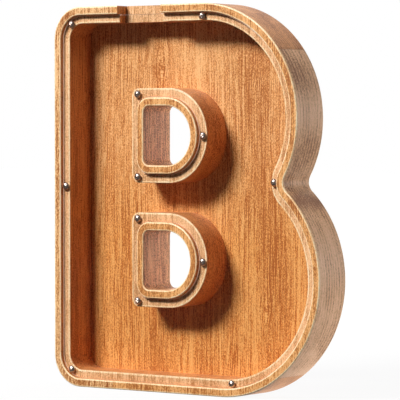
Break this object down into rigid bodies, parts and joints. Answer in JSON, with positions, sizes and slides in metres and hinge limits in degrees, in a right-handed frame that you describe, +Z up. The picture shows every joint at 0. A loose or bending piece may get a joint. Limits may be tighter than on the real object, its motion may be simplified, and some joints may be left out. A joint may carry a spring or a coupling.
{
  "type": "money box",
  "caption": "Upright wooden money box shaped like a capital letter, with a clear front screwed into a rebate, a coin slot in its top edge and D-shaped holes right through it.",
  "frame": {"origin": "middle of the box's footprint, on the surface that it stands on", "axes": "+Z up the letter's stem, +X to the right as seen from the front, so that the window faces -Y"},
  "size_m": [0.194, 0.0274, 0.23],
  "materials": {
    "wood": "oiled, satin, vertical grain",
    "wood_amber": "oiled, satin, vertical grain, warmer stave",
    "wood_tan": "oiled, satin, vertical grain, browner stave",
    "acrylic": "clear acrylic sheet with polished edges",
    "steel": "bright zinc-plated screw heads"
  },
  "bodies": {
    "box": {"left_stave": "wood", "slot_stave": "wood_amber", "centre_stave": "wood", "waist_stave": "wood_amber", "right_stave": "wood_tan"},
    "window": {"front_window": "acrylic"},
    "screws": {"frame_screws": "steel", "upper_ring_screws": "steel", "lower_ring_screws": "steel"}
  },
  "joints": [
    {"name": "window_lift", "type": "slide", "parent": "box", "child": "window", "axis": [0, -1, 0], "range_m": [0, 0.04]},
    {"name": "screws_withdraw", "type": "slide", "parent": "window", "child": "screws", "axis": [0, -1, 0], "range_m": [0, 0.016]}
  ]
}
